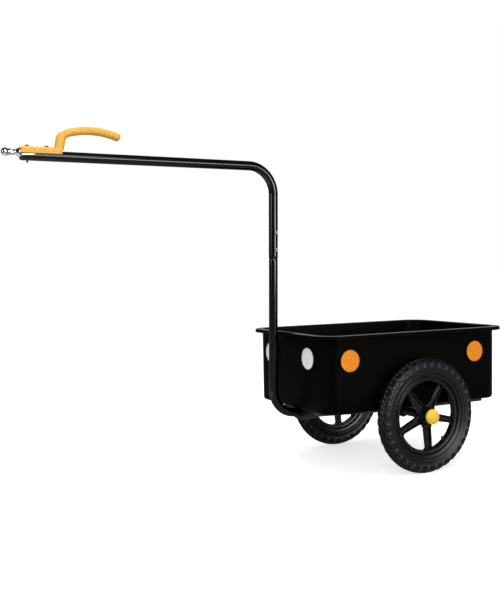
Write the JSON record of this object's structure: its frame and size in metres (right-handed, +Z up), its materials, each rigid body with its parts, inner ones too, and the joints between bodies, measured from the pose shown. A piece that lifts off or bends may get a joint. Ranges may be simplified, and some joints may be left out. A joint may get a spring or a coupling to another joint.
{
  "type": "bicycle trailer",
  "caption": "Two-wheeled cargo trailer for a bicycle: open moulded tub on a steel underframe, high goose-neck drawbar with pull handle and hitch ball, spoked wheels.",
  "frame": {"origin": "on the ground, under the middle of the bounding box's length and width", "axes": "+X forward along the drawbar to the hitch, +Y to the trailer's left, +Z up; the wheel axle lies along Y"},
  "size_m": [1.7682, 0.6522, 1.1659],
  "materials": {
    "tub_plastic": "satin black moulded polyethylene",
    "frame_paint": "satin black powder coat",
    "drawbar_paint": "gloss black powder coat",
    "zinc": "bright zinc plate",
    "ball_chrome": "polished",
    "yellow_plastic": "yellow-orange moulded plastic",
    "wheel_plastic": "satin black glass-filled nylon",
    "tyre": "black rubber",
    "rubber": "black butyl",
    "bearing_steel": "ground steel",
    "reflector_white": "clear prismatic plastic over silver",
    "reflector_orange": "orange prismatic plastic",
    "reflector_red": "red prismatic plastic"
  },
  "bodies": {
    "chassis": {"tub": "tub_plastic", "tub_bolt_rear_left": "zinc", "tub_bolt_rear_right": "zinc", "tub_bolt_front_left": "zinc", "tub_bolt_front_right": "zinc", "reflector_front_left": "reflector_white", "reflector_front_right": "reflector_white", "reflector_rear_left": "reflector_red", "reflector_rear_right": "reflector_red", "reflector_left_front": "reflector_orange", "reflector_left_rear": "reflector_orange", "reflector_right_front": "reflector_orange", "reflector_right_rear": "reflector_orange", "frame_rail_left": "frame_paint", "frame_rail_right": "frame_paint", "frame_rear_member": "frame_paint", "yoke_front": "frame_paint", "yoke_rear": "frame_paint", "drawbar_socket": "frame_paint", "axle_tube": "frame_paint", "axle_hanger_left": "frame_paint", "axle_hanger_right": "frame_paint", "hanger_bolt_front_left": "zinc", "hanger_bolt_front_right": "zinc", "hanger_bolt_rear_left": "zinc", "hanger_bolt_rear_right": "zinc", "socket_bolt": "zinc", "socket_nut": "zinc", "joint_low_bolt": "zinc", "joint_low_nut": "zinc", "joint_high_bolt": "zinc", "joint_high_nut": "zinc", "handle_bolt_front": "zinc", "handle_bolt_rear": "zinc", "stub_axle_left": "zinc", "stub_axle_right": "zinc", "axle_washer_left": "zinc", "axle_washer_right": "zinc", "axle_nut_left": "zinc", "axle_nut_right": "zinc", "drawbar_lower_tube": "drawbar_paint", "drawbar_upper_tube": "drawbar_paint", "hitch_ball": "ball_chrome", "handle": "yellow_plastic"},
    "left_wheel": {"wheel_left": "wheel_plastic", "tyre_left": "tyre", "inner_tube_left": "rubber", "valve_left": "rubber", "bearing_outer_left": "bearing_steel", "bearing_inner_left": "bearing_steel", "hub_cap_left": "yellow_plastic"},
    "right_wheel": {"wheel_right": "wheel_plastic", "tyre_right": "tyre", "inner_tube_right": "rubber", "valve_right": "rubber", "bearing_outer_right": "bearing_steel", "bearing_inner_right": "bearing_steel", "hub_cap_right": "yellow_plastic"}
  },
  "joints": [
    {"name": "left_wheel_spin", "type": "hinge", "parent": "chassis", "child": "left_wheel", "pos_m": [-0.47813, 0.277, 0.2], "axis": [0, 1, 0], "continuous": true},
    {"name": "right_wheel_spin", "type": "hinge", "parent": "chassis", "child": "right_wheel", "pos_m": [-0.47813, -0.277, 0.2], "axis": [0, 1, 0], "continuous": true}
  ]
}
